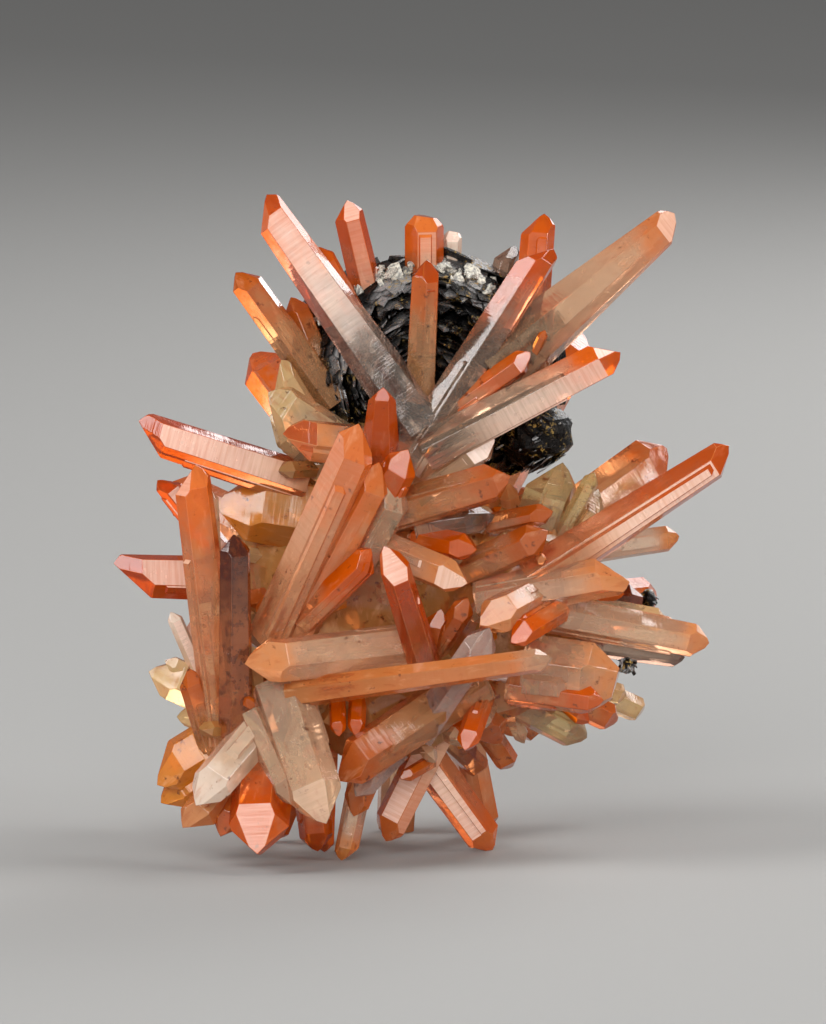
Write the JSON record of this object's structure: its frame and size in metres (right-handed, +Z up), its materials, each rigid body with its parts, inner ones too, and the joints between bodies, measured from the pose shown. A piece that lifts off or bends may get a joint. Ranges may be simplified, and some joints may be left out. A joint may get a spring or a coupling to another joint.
{
  "type": "quartz cluster specimen",
  "caption": "Radiating cluster of iron-stained orange quartz crystals grown round a rosette of black platy hematite, standing on its lowest crystal tips.",
  "frame": {"origin": "on the ground under the middle of the specimen's box", "axes": "+X to the right as seen from the front, +Y to the back, +Z up from the ground the lowest crystal tips stand on"},
  "size_m": [0.0768, 0.057, 0.0838],
  "materials": {
    "stained_quartz": "clear to milky quartz stained orange by iron, bright faces with fine growth lines",
    "orange_quartz": "translucent orange quartz, glossy",
    "smoky_quartz": "grey-brown clear quartz, glossy",
    "hematite": "black metallic plates with grey glints and fine ridges"
  },
  "bodies": {
    "root": {"quartz_cluster": "stained_quartz", "crown_left": "orange_quartz", "crown_middle": "orange_quartz", "crown_right": "orange_quartz", "crown_smoky": "smoky_quartz", "crown_front": "orange_quartz", "hematite_rosette": "hematite", "hematite_chip_upper": "hematite", "hematite_chip_lower": "hematite"}
  },
  "joints": []
}
